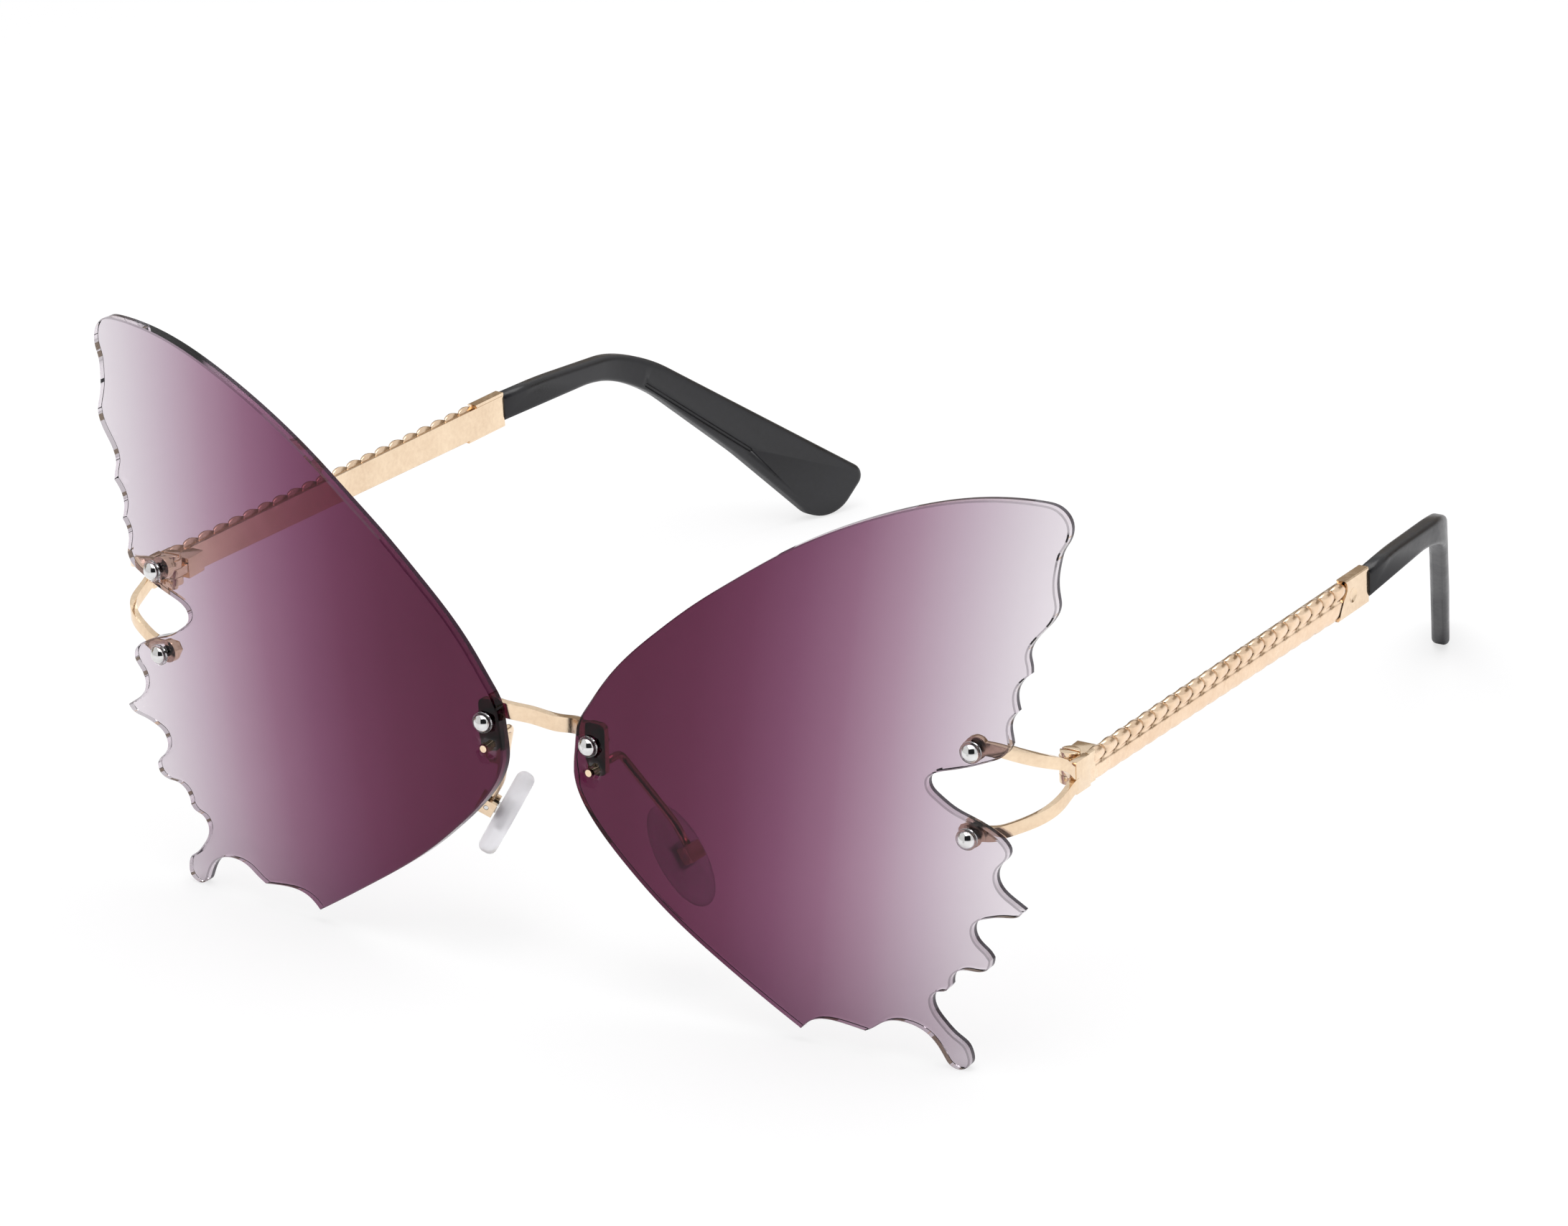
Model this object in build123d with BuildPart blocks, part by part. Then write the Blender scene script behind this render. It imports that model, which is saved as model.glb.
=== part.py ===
from build123d import *
import os
from math import cos, radians, sin, sqrt

# Rimless butterfly sunglasses, open, standing on the lens tails and the temple tips.
# The wearer looks along -Y. Z is up. The pieces drawn here are the wearer's left ones, at +X.
# Heights are above the surface they stand on. "back" is a distance behind the tail plane.

# The tail plane, which the other depths are measured from.
tail_y = -75.0

# Lenses: curved sheets, wrapped to the sides and leaning back a little.
lens_width = 72.0
lens_height = 80.0
lens_thickness = 1.9
lens_radius = 290.0
lens_wrap_angle = 4.1
lens_lean_angle = 3.0
lens_nose_x = 5.752
lens_tail_lift = 0.285
lens_forward = 3.4
lens_middle_across_share = 0.4806
lens_middle_up_share = 0.5025
lens_nose_share = 0.0065
lens_tail_share = -0.001

# The outline, in shares of the lens width from the nose and of the lens height from the tail.
wing_shares = [
    # The tip below the nose, the inner edge, the nose, the brow, the wing corner and its waves.
    [
        (0.468, 0.022), (0.42, 0.050), (0.34, 0.098), (0.26, 0.1475), (0.18, 0.203),
        (0.12, 0.2525), (0.07, 0.299), (0.035, 0.339), (0.015, 0.372), (0.0065, 0.405),
        (0.0085, 0.435), (0.0125, 0.465), (0.019, 0.495), (0.040, 0.528), (0.08, 0.580),
        (0.12, 0.623), (0.20, 0.691), (0.28, 0.751), (0.36, 0.803), (0.44, 0.852),
        (0.52, 0.894), (0.60, 0.929), (0.68, 0.958), (0.76, 0.981), (0.84, 0.996),
        (0.90, 1.001), (0.95, 1.001), (0.98, 0.996), (0.995, 0.986), (1.003, 0.975),
        (1.006, 0.960), (1.000, 0.940), (0.992, 0.927), (0.986, 0.905), (0.983, 0.878),
        (0.986, 0.853), (0.989, 0.836), (0.984, 0.819), (0.970, 0.800), (0.950, 0.779),
        (0.939, 0.762), (0.9365, 0.747), (0.940, 0.733), (0.941, 0.719),
    ],
    # Two soft teeth down to the corner of the forewing.
    [(0.941, 0.719), (0.926, 0.706), (0.916, 0.690), (0.9145, 0.673), (0.919, 0.654)],
    [(0.919, 0.654), (0.906, 0.638), (0.903, 0.622), (0.906, 0.605), (0.9075, 0.596)],
    # The notch between the wings, the corner of the hindwing and the first bay.
    [
        (0.9075, 0.596), (0.900, 0.582), (0.870, 0.565), (0.83, 0.551), (0.79, 0.540),
        (0.762, 0.531), (0.749, 0.520), (0.749, 0.504), (0.765, 0.4885), (0.795, 0.470),
        (0.83, 0.457), (0.87, 0.440), (0.893, 0.424), (0.901, 0.409), (0.896, 0.396),
        (0.882, 0.382), (0.875, 0.361), (0.884, 0.340), (0.907, 0.322), (0.9275, 0.309),
    ],
    # Bays between the pointed teeth of the hindwing.
    [
        (0.9275, 0.309), (0.921, 0.301), (0.89, 0.294), (0.855, 0.287), (0.833, 0.276),
        (0.827, 0.257), (0.837, 0.237), (0.855, 0.221), (0.861, 0.212),
    ],
    [
        (0.861, 0.212), (0.856, 0.196), (0.84, 0.1885), (0.808, 0.1875), (0.789, 0.179),
        (0.780, 0.163), (0.7795, 0.154),
    ],
    # The tail and the arch beside it.
    [
        (0.7795, 0.154), (0.770, 0.1435), (0.750, 0.138), (0.739, 0.125), (0.741, 0.104),
        (0.76, 0.078), (0.78, 0.059), (0.80, 0.044), (0.807, 0.027), (0.806, 0.010),
        (0.79, -0.001), (0.768, 0.004), (0.758, 0.018), (0.744, 0.041), (0.726, 0.058),
        (0.70, 0.069), (0.67, 0.072), (0.64, 0.064), (0.62, 0.051), (0.602, 0.0415),
    ],
    [(0.602, 0.0415), (0.56, 0.0475), (0.52, 0.0490), (0.49, 0.0405), (0.468, 0.022)],
]

# Where the screws pass the lens, in the same shares.
bridge_screw_share = (0.046, 0.4615)
upper_screw_share = (0.834, 0.578)
lower_screw_share = (0.825, 0.427)

# Mounting screws with domed heads, their washers and nuts.
screw_radius = 0.6
screw_head_radius = 1.25
screw_head_rim = 0.2
screw_head_dome = 0.75
screw_tail = 0.3
washer_radius = 1.5
washer_thickness = 0.35
nut_radius = 1.2
nut_height = 0.9
hole_clearance = 0.05
seat_clearance = 0.05
thread_clearance = 0.02

# Bridge: brackets behind the lenses, each with a peg through the lens, and the strip between.
bracket_width = 3.2
bracket_height = 7.4
bracket_drop = 0.95
bracket_thickness = 0.9
bracket_corner = 0.9
peg_radius = 0.5
peg_drop = 3.8
peg_proud = 0.25
strip_height = 2.2
strip_thickness = 1.0
strip_end_inset = 0.88
strip_end_rise = 1.255
strip_end_setback = 2.35
strip_shoulder_share = 0.447
strip_shoulder_drop = 0.8
strip_middle_drop = 1.4
strip_bow = 1.35

# Nose pads, hung on bent wires.
wire_radius = 0.55
wire_hook = 4.2
wire_hook_bend = 1.4
wire_side = 0.3
wire_root_drop = 3.3
wire_knee = 3.4
wire_knee_bend = 6.0
pad_x = 14.3
pad_setback = 11.2
pad_drop = 19.65
pad_outward_angle = 31.2
pad_splay_angle = 18.6
pad_length = 15.0
pad_width = 6.8
pad_thickness = 2.6
pad_round = 1.1
box_gap = 0.3
box_length = 2.4
box_width = 2.4
box_depth = 2.4
box_wall = 0.5
tongue_clearance = 0.06
lug_clearance = 0.1
tongue_anchor_length = 3.6
tongue_anchor_thickness = 0.6
tongue_anchor_width = 2.4
pocket_clearance = 0.03
pad_screw_radius = 0.35
pad_screw_head_radius = 0.7
pad_screw_head_height = 0.4
pad_screw_clearance = 0.04

# Hinge: two knuckles at the front, one on the temple, on an upright screw.
hinge_reach = 7.2
hinge_setback = 12.75
knuckle_radius = 1.5
knuckle_drop = 1.85
knuckle_height = 1.2
knuckle_gap = 0.05
hinge_screw_radius = 0.7
hinge_screw_clearance = 0.03
hinge_head_radius = 1.35
hinge_head_height = 0.75
hinge_head_slot = 0.35
hinge_screw_tail = 0.8
leaf_thickness = 1.0
front_leaf_reach = 2.0
swing_clearance = 0.1
temple_leaf_thickness = 2.6
temple_leaf_reach = 5.0
temple_leaf_height = 3.0
leaf_seat_depth = 0.2
leaf_seat_clearance = 0.05

# Endpiece: two flat arms from the lens to an upright plate outside the hinge.
arm_height = 1.8
arm_thickness = 0.9
arm_sink = 0.15
foot_radius = 1.6
foot_thickness = 1.0
plate_thickness = 1.0
plate_length = 3.5
plate_front_height = 4.5
plate_rise = 0.15
butt_gap = 0.1

# Temples: a bar with a rope relief on its outer side, and a tang hidden in the tip.
temple_start_gap = 0.7
temple_run = 79.0
temple_drop = 0.2
temple_end_z = 35.2
temple_start_height = 4.5
temple_end_height = 5.3
temple_toe_in_angle = 1.2
bar_thickness = 0.7
rope_thickness = 1.0
rope_start = 0.8
rope_end_plate = 6.8
rope_count = 21
rope_lobe = 0.45
rope_lower_lobe = 0.2
rope_groove_width = 0.55
rope_groove_depth = 0.4
rope_groove_bow = 0.9
rope_groove_lean = 0.7
dimple_share = 0.3
dimple_radius = 1.1
dimple_depth = 0.3

# Temple tips: a sleeve that bends down and in, and widens to a flat blade.
tip_run = 68.8
tip_front_run = 26.6
tip_top_z = 37.55
tip_middle_z = 35.4
tip_thickness = 2.2
tip_blade_thickness = 2.6
tip_edge_round = 0.85
tip_bend_radius = 20.0
tip_front_inward_angle = 4.4
tip_blade_inward_angle = 26.3
tang_height = 2.6
tang_thickness = 1.1
tang_length = 19.0
tang_drop_angle = 3.6
tang_root = 1.5
tang_clearance = 0.05
tip_groove_width = 0.6
tip_groove_depth = 0.3

# The tip seen from the side, its corners round from the upper front one: shares of its run and of its top
# height, and the corner's radius as a share of the run.
tip_shares = [
    (0.0, 1.0, 0.0), (0.13, 0.9885, 1.3), (0.4275, 0.9305, 0.33), (1.0, 0.150, 0.032),
    (0.8945, -0.0715, 0.0665), (0.667, 0.373, 0.7), (0.391, 0.856, 0.32), (0.0, 0.887, 0.0),
]
tip_groove_shares = [(0.454, 0.772), (0.706, 0.378)]

# Each arm of the fork, from the lens to the plate: shares of the way out, back and up or down.
upper_arm_shares = [(0.0, 0.0, 0.0), (0.50, 0.10, 0.13), (0.90, 0.40, 0.42), (1.0, 0.68, 0.72), (1.0, 1.0, 1.0)]
lower_arm_shares = [(0.0, 0.0, 0.0), (0.50, 0.10, 0.26), (0.92, 0.36, 0.66), (1.0, 0.68, 0.88), (1.0, 1.0, 1.0)]
arm_section_shares = [0.0, 0.12, 0.24, 0.36, 0.48, 0.60, 0.74, 0.88, 1.0]

os.makedirs("parts", exist_ok=True)


def save_pair(piece, name):
    """Write the wearer's left piece as it stands, and its mirror image as the right one."""
    piece.part.label = "left_" + name
    export_step(piece.part, "parts/left_" + name + ".step")
    with BuildPart() as twin:
        mirror(piece.part, about=Plane.YZ)
    twin.part.label = "right_" + name
    export_step(twin.part, "parts/right_" + name + ".step")


# The lens plane touches the middle of the lens. Its X runs out along the lens, its Z forward.
wrap = radians(lens_wrap_angle)
lean = radians(lens_lean_angle)
lens_forward_axis = Vector(sin(wrap) * cos(lean), -cos(wrap) * cos(lean), sin(lean))
lens_middle_x = lens_nose_x + (lens_middle_across_share - lens_nose_share) * lens_width * cos(wrap)
lens_middle_z = lens_tail_lift + (lens_middle_up_share - lens_tail_share) * lens_height * cos(lean)
lens_plane = Plane(
    origin=(lens_middle_x, tail_y - lens_forward, lens_middle_z),
    x_dir=(cos(wrap), sin(wrap), 0),
    z_dir=lens_forward_axis,
)
lens_centre = lens_plane.origin - lens_forward_axis * lens_radius
lens_bow = lens_radius - sqrt(lens_radius**2 - lens_width**2 - lens_height**2)


def on_lens(share):
    """A place of the outline in the lens plane."""
    across = (share[0] - lens_middle_across_share) * lens_width
    up = (share[1] - lens_middle_up_share) * lens_height
    return (across, up)


def lens_seat(share):
    """The plane on the lens's middle surface at a share, square to it, Z forward."""
    across, up = on_lens(share)
    depth = sqrt(lens_radius**2 - across**2 - up**2)
    out = lens_plane.x_dir * across + lens_plane.y_dir * up + lens_forward_axis * depth
    normal = out.normalized()
    side = Vector(0, 0, 1).cross(normal).normalized()
    return Plane(origin=lens_centre + out, x_dir=side, z_dir=normal)


def upright(seat):
    """The plane that holds the seat's forward axis as its Y, for profiles to be revolved."""
    return Plane(origin=seat.origin, x_dir=seat.x_dir, z_dir=-seat.y_dir)


seats = {
    "bridge": lens_seat(bridge_screw_share),
    "upper": lens_seat(upper_screw_share),
    "lower": lens_seat(lower_screw_share),
}
bridge_seat = seats["bridge"]
lens_half = lens_thickness / 2
lens_back = -(lens_half + seat_clearance)
lens_face = lens_half + seat_clearance

# Lens: the outline cut through a shell between two spheres, with its four holes.
with BuildPart() as lens:
    with BuildSketch(lens_plane):
        with BuildLine():
            for run in wing_shares:
                Spline(*[on_lens(share) for share in run])
        make_face()
    extrude(amount=lens_bow, both=True)
    with Locations(lens_centre):
        Sphere(lens_radius + lens_half, mode=Mode.INTERSECT)
        Sphere(lens_radius - lens_half, mode=Mode.SUBTRACT)
    for seat in seats.values():
        with BuildSketch(seat):
            Circle(screw_radius + hole_clearance)
        extrude(amount=lens_thickness, both=True, mode=Mode.SUBTRACT)
    with BuildSketch(bridge_seat):
        with Locations((0, -peg_drop)):
            Circle(peg_radius + hole_clearance)
    extrude(amount=lens_thickness, both=True, mode=Mode.SUBTRACT)
save_pair(lens, "lens")

# The three mounting screws of a lens: washer and domed head in front, nut behind the metal.
for name, seat in seats.items():
    metal = bracket_thickness if name == "bridge" else foot_thickness
    head_at = lens_face + washer_thickness
    nut_at = lens_back - metal - nut_height
    with BuildPart() as screw:
        with BuildSketch(upright(seat)):
            with BuildLine():
                Line((0, nut_at - screw_tail), (screw_radius, nut_at - screw_tail))
                Line((screw_radius, nut_at - screw_tail), (screw_radius, head_at))
                Line((screw_radius, head_at), (screw_head_radius, head_at))
                Line((screw_head_radius, head_at), (screw_head_radius, head_at + screw_head_rim))
                TangentArc(
                    (0, head_at + screw_head_rim + screw_head_dome),
                    (screw_head_radius, head_at + screw_head_rim),
                    tangent=(1, 0),
                )
                Line((0, head_at + screw_head_rim + screw_head_dome), (0, nut_at - screw_tail))
            make_face()
        revolve(axis=Axis(seat.origin, seat.z_dir))
    save_pair(screw, name + "_screw")

    with BuildPart() as washer:
        with BuildSketch(seat.offset(lens_face)):
            Circle(washer_radius)
            Circle(screw_radius + hole_clearance, mode=Mode.SUBTRACT)
        extrude(amount=washer_thickness)
    save_pair(washer, name + "_washer")

    with BuildPart() as nut:
        with BuildSketch(seat.offset(nut_at)):
            RegularPolygon(nut_radius, 6)
            Circle(screw_radius + thread_clearance, mode=Mode.SUBTRACT)
        extrude(amount=nut_height)
    save_pair(nut, name + "_nut")

# Bridge: brackets with pegs on both sides, and a strip that dips and bows between them.
strip_end_x = bridge_seat.origin.X - strip_end_inset
strip_end_z = bridge_seat.origin.Z + strip_end_rise
strip_shoulder_x = strip_end_x * strip_shoulder_share
strip_shoulder_z = strip_end_z - strip_shoulder_drop
strip_middle_z = strip_end_z - strip_middle_drop
strip_y = bridge_seat.origin.Y + strip_end_setback
strip_middle_y = strip_y + strip_bow
with BuildPart() as bracket:
    with BuildSketch(bridge_seat.offset(lens_back - bracket_thickness)):
        with Locations((0, -bracket_drop)):
            RectangleRounded(bracket_width, bracket_height, bracket_corner)
    extrude(amount=bracket_thickness)
    with BuildSketch(bridge_seat.offset(lens_back - bracket_thickness)):
        with Locations((0, -peg_drop)):
            Circle(peg_radius)
    extrude(amount=bracket_thickness + 2 * seat_clearance + lens_thickness + peg_proud)
    with BuildSketch(bridge_seat.offset(lens_back)):
        Circle(screw_radius + hole_clearance)
    extrude(amount=-bracket_thickness, mode=Mode.SUBTRACT)

with BuildPart() as bridge:
    with BuildSketch(Plane.XZ.offset(-strip_y + strip_height)):
        with BuildLine():
            for side in (-1, 1):
                Line(
                    (side * strip_end_x, strip_end_z + strip_height / 2),
                    (side * strip_end_x, strip_end_z - strip_height / 2),
                )
            for level in (-strip_height / 2, strip_height / 2):
                Spline(
                    (-strip_end_x, strip_end_z + level),
                    (-strip_shoulder_x, strip_shoulder_z + level),
                    (0, strip_middle_z + level),
                    (strip_shoulder_x, strip_shoulder_z + level),
                    (strip_end_x, strip_end_z + level),
                )
        make_face()
    extrude(amount=-strip_end_x)
    with BuildSketch(Plane.XY.offset(strip_middle_z - strip_end_x)):
        with BuildLine():
            for side in (-1, 1):
                Line((side * strip_end_x, strip_y), (side * strip_end_x, strip_y - strip_thickness))
            for level in (0, -strip_thickness):
                Spline(
                    (-strip_end_x, strip_y + level),
                    (-strip_shoulder_x, strip_middle_y + level),
                    (strip_shoulder_x, strip_middle_y + level),
                    (strip_end_x, strip_y + level),
                    tangents=[(1, 0), (1, 0)],
                )
        make_face()
    extrude(amount=2 * strip_end_x, mode=Mode.INTERSECT)
    add(bracket.part)
    mirror(bracket.part, about=Plane.YZ)
bridge.part.label = "bridge"
export_step(bridge.part, "parts/bridge.step")

# Nose pad frame: X down the pad, Z out of the face that rests on the nose.
outward = radians(pad_outward_angle)
splay = radians(pad_splay_angle)
pad_down = Vector(sin(outward), 0.0, -cos(outward))
pad_face = Vector(-cos(splay) * cos(outward), sin(splay), -cos(splay) * sin(outward))
pad_y = bridge_seat.origin.Y + pad_setback
pad_z = bridge_seat.origin.Z - pad_drop
pad_plane = Plane(origin=(pad_x, pad_y, pad_z), x_dir=pad_down, z_dir=pad_face)
pad_half = pad_thickness / 2
box_front = -(pad_half + box_gap)
box_middle = box_front - box_depth / 2
tongue_thickness = box_width - 2 * box_wall - 2 * tongue_clearance
pivot = pad_plane.offset(box_middle)

# Pad arm: a wire that leaves the bracket backwards, hooks over and runs down to the box.
wire_root = bridge_seat.offset(lens_back - bracket_thickness)
root_point = wire_root.from_local_coords(Vector(wire_side, -wire_root_drop, 0))
hook_point = root_point - bridge_seat.z_dir * wire_hook
box_top = pivot.from_local_coords(Vector(-box_length / 2, 0, 0))
knee_point = box_top - pad_plane.x_dir * wire_knee
with BuildPart() as pad_arm:
    with BuildLine() as wire:
        FilletPolyline(root_point, hook_point, knee_point, box_top, radius=[wire_hook_bend, wire_knee_bend])
    with BuildSketch(Plane(origin=root_point, x_dir=bridge_seat.x_dir, z_dir=-bridge_seat.z_dir)):
        Circle(wire_radius)
    sweep(path=wire.line)
save_pair(pad_arm, "pad_arm")

# Pad box: open towards the pad, with a cross hole for the pad screw.
cross_plane = Plane(origin=pivot.origin, x_dir=pivot.x_dir, z_dir=pivot.y_dir)
with BuildPart() as pad_box:
    with BuildSketch(pad_plane.offset(box_front)):
        Rectangle(box_length, box_width)
    extrude(amount=-box_depth)
    with BuildSketch(pad_plane.offset(box_front)):
        Rectangle(box_length, box_width - 2 * box_wall)
    extrude(amount=box_wall - box_depth, mode=Mode.SUBTRACT)
    with BuildSketch(cross_plane):
        Circle(pad_screw_radius + thread_clearance)
    extrude(amount=box_width, both=True, mode=Mode.SUBTRACT)
save_pair(pad_box, "pad_box")

with BuildPart() as pad_screw:
    with BuildSketch(cross_plane.offset(-box_width / 2)):
        Circle(pad_screw_radius)
    extrude(amount=box_width)
    with BuildSketch(cross_plane.offset(-box_width / 2)):
        Circle(pad_screw_head_radius)
    extrude(amount=-pad_screw_head_height)
save_pair(pad_screw, "pad_screw")

# Pad tongue: an anchor plate inside the pad and a lug round the pad screw.
anchor_top = tongue_anchor_thickness / 2
lug_radius = box_depth / 2 - box_wall - lug_clearance
with BuildPart() as pad_tongue:
    with BuildSketch(pad_plane.offset(-anchor_top)):
        Rectangle(tongue_anchor_length, tongue_anchor_width)
    extrude(amount=tongue_anchor_thickness)
    with BuildSketch(cross_plane.offset(-tongue_thickness / 2)):
        Circle(lug_radius)
    extrude(amount=tongue_thickness)
    with BuildSketch(pivot):
        Rectangle(2 * lug_radius, tongue_thickness)
    extrude(amount=-box_middle)
    with BuildSketch(cross_plane):
        Circle(pad_screw_radius + pad_screw_clearance)
    extrude(amount=tongue_thickness, both=True, mode=Mode.SUBTRACT)
save_pair(pad_tongue, "pad_tongue")

with BuildPart() as nose_pad:
    with BuildSketch(pad_plane.offset(-pad_half)):
        Ellipse(pad_length / 2, pad_width / 2)
    extrude(amount=pad_thickness)
    fillet(nose_pad.edges(), radius=pad_round)
    with BuildSketch(pad_plane.offset(-anchor_top - pocket_clearance)):
        Rectangle(tongue_anchor_length + 2 * pocket_clearance, tongue_anchor_width + 2 * pocket_clearance)
    extrude(amount=tongue_anchor_thickness + 2 * pocket_clearance, mode=Mode.SUBTRACT)
    with BuildSketch(pad_plane):
        Rectangle(2 * lug_radius + 2 * pocket_clearance, tongue_thickness + 2 * pocket_clearance)
    extrude(amount=-pad_thickness, mode=Mode.SUBTRACT)
save_pair(nose_pad, "nose_pad")

# Temple line: the bar is drawn from the side, between its inner and its outer face.
outer_seat = (seats["upper"].origin + seats["lower"].origin) / 2
hinge_x = outer_seat.X + hinge_reach
hinge_y = outer_seat.Y + hinge_setback
start_y = hinge_y + temple_start_gap
end_y = start_y + temple_run
rope_pitch = (temple_run - rope_start - rope_end_plate) / rope_count
flat_start_y = hinge_y + knuckle_radius + swing_clearance
temple_start_z = outer_seat.Z - temple_drop
knuckle_bottom_z = temple_start_z - knuckle_drop
plate_x = hinge_x + knuckle_radius + swing_clearance
outer_x = plate_x + plate_thickness
bar_x = outer_x - rope_thickness - bar_thickness
bar_plane = Plane.YZ.offset(bar_x)
hinge_axis = Axis((hinge_x, hinge_y, 0), (0, 0, 1))


def bar_height(y):
    """The temple's middle and half height at a place along it."""
    share = (y - start_y) / temple_run
    middle = temple_start_z + (temple_end_z - temple_start_z) * share
    half = (temple_start_height + (temple_end_height - temple_start_height) * share) / 2
    return middle, half


def save_temple_pair(piece, name):
    """Turn a temple piece in about the hinge, as it stands open, and write it and its mirror image."""
    with BuildPart() as opened:
        add(piece.part.rotate(hinge_axis, temple_toe_in_angle))
    save_pair(opened, name)


# Endpiece: feet behind the lens, two arms that sweep round its edge, and the plate.
plate_end_y = start_y - butt_gap
plate_y = plate_end_y - plate_length
plate_front_z = temple_start_z + plate_rise
plate_mid_x = plate_x + plate_thickness / 2


def arm(seat, way_shares, target_z):
    """Upright sections for an arm from its foot on the lens to the plate."""
    foot = seat.offset(lens_back - foot_thickness / 2).origin + seat.x_dir * nut_radius
    target = Vector(plate_mid_x, plate_y + arm_height / 2, target_z)
    reach = target - foot
    points = [foot + Vector(reach.X * a, reach.Y * b, reach.Z * c) for a, b, c in way_shares]
    way = Spline(*points, tangents=[seat.x_dir, (0, 1, 0)], mode=Mode.PRIVATE)
    planes = []
    for share in arm_section_shares:
        heading = way % share
        level = Vector(heading.X, heading.Y, 0).normalized()
        rise = seat.y_dir * (1 - share) + Vector(0, 0, 1) * share
        rise = rise - level * rise.dot(level)
        planes.append(Plane(origin=way @ share, x_dir=rise.normalized(), z_dir=level))
    return planes


upper_target_z = plate_front_z + (plate_front_height - arm_height) / 2 - arm_sink
lower_target_z = plate_front_z - (plate_front_height - arm_height) / 2 + arm_sink
with BuildPart() as endpiece:
    with BuildSketch(Plane.YZ.offset(plate_x)):
        with BuildLine():
            middle, half = bar_height(start_y)
            Polyline(
                (plate_y, plate_front_z - plate_front_height / 2),
                (plate_end_y, middle - half),
                (plate_end_y, middle + half),
                (plate_y, plate_front_z + plate_front_height / 2),
                close=True,
            )
        make_face()
    extrude(amount=plate_thickness)
    for name, way_shares, target_z in (
        ("upper", upper_arm_shares, upper_target_z),
        ("lower", lower_arm_shares, lower_target_z),
    ):
        for section in arm(seats[name], way_shares, target_z):
            with BuildSketch(section):
                Rectangle(arm_height, arm_thickness)
        loft()
        with BuildSketch(seats[name].offset(lens_back)):
            Circle(foot_radius)
        extrude(amount=-foot_thickness)
    for name in ("upper", "lower"):
        with BuildSketch(seats[name].offset(lens_back)):
            Circle(screw_radius + hole_clearance)
        extrude(amount=-2 * foot_thickness, mode=Mode.SUBTRACT)
save_pair(endpiece, "endpiece")

# Hinge: knuckles one above the other on the upright screw.
middle_bottom_z = knuckle_bottom_z + knuckle_height + knuckle_gap
upper_bottom_z = middle_bottom_z + knuckle_height + knuckle_gap
hinge_top_z = upper_bottom_z + knuckle_height
hinge_height = hinge_top_z - knuckle_bottom_z
with BuildPart() as front_hinge_leaf:
    with BuildSketch(Plane.XY.offset(knuckle_bottom_z)):
        with Locations((hinge_x, hinge_y)):
            Circle(knuckle_radius)
        with BuildLine():
            Polyline(
                (plate_x, hinge_y),
                (hinge_x, hinge_y),
                (plate_x - leaf_thickness, hinge_y - knuckle_radius),
                (plate_x - leaf_thickness, hinge_y - front_leaf_reach),
                (plate_x, hinge_y - front_leaf_reach),
                close=True,
            )
        make_face()
    extrude(amount=hinge_height)
    with BuildSketch(Plane.XY.offset(middle_bottom_z - knuckle_gap)):
        with Locations((hinge_x, hinge_y)):
            Circle(knuckle_radius + swing_clearance)
    extrude(amount=knuckle_height + 2 * knuckle_gap, mode=Mode.SUBTRACT)
    with BuildSketch(Plane.XY.offset(knuckle_bottom_z)):
        with Locations((hinge_x, hinge_y)):
            Circle(hinge_screw_radius + hinge_screw_clearance)
    extrude(amount=hinge_height, mode=Mode.SUBTRACT)
save_pair(front_hinge_leaf, "front_hinge_leaf")

# The temple's leaf is a block on the bar's inner face, with one knuckle in front of it.
leaf_end_y = hinge_y + temple_leaf_reach
leaf_low_z = (knuckle_bottom_z + hinge_top_z - temple_leaf_height) / 2
with BuildPart() as temple_hinge_leaf:
    with BuildSketch(Plane.XY.offset(leaf_low_z)):
        with BuildLine():
            Polyline(
                (bar_x - temple_leaf_thickness, flat_start_y),
                (bar_x + leaf_seat_depth, flat_start_y),
                (bar_x + leaf_seat_depth, leaf_end_y),
                (bar_x - temple_leaf_thickness, leaf_end_y),
                close=True,
            )
        make_face()
    extrude(amount=temple_leaf_height)
    with BuildSketch(Plane.XY.offset(middle_bottom_z)):
        with Locations((hinge_x, hinge_y)):
            Circle(knuckle_radius)
        with BuildLine():
            Polyline(
                (hinge_x - knuckle_radius, hinge_y),
                (bar_x, hinge_y),
                (bar_x, flat_start_y),
                (hinge_x - knuckle_radius, flat_start_y),
                close=True,
            )
        make_face()
    extrude(amount=knuckle_height)
    with BuildSketch(Plane.XY.offset(middle_bottom_z)):
        with Locations((hinge_x, hinge_y)):
            Circle(hinge_screw_radius + hinge_screw_clearance)
    extrude(amount=knuckle_height, mode=Mode.SUBTRACT)
save_temple_pair(temple_hinge_leaf, "temple_hinge_leaf")

with BuildPart() as hinge_screw:
    with BuildSketch(Plane.XY.offset(knuckle_bottom_z - hinge_screw_tail)):
        with Locations((hinge_x, hinge_y)):
            Circle(hinge_screw_radius)
    extrude(amount=hinge_height + hinge_screw_tail)
    with BuildSketch(Plane.XY.offset(hinge_top_z)):
        with Locations((hinge_x, hinge_y)):
            Circle(hinge_head_radius)
    extrude(amount=hinge_head_height)
    with BuildSketch(Plane.XY.offset(hinge_top_z + hinge_head_height)):
        with Locations((hinge_x, hinge_y)):
            Rectangle(2 * hinge_head_radius, hinge_head_slot)
    extrude(amount=-hinge_head_slot, mode=Mode.SUBTRACT)
save_pair(hinge_screw, "hinge_screw")

# The tang leaves the bar's end inwards and downwards, as the front run of the tip does.
front_inward = radians(tip_front_inward_angle)
tang_drop = radians(tang_drop_angle)
tang_axis = Vector(-sin(front_inward) * cos(tang_drop), cos(front_inward) * cos(tang_drop), -sin(tang_drop))
tip_x = (bar_x + outer_x) / 2
tang_start = Vector(tip_x, end_y, tip_middle_z)
tang_plane = Plane(origin=tang_start, x_dir=(cos(front_inward), sin(front_inward), 0), z_dir=tang_axis)

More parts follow.
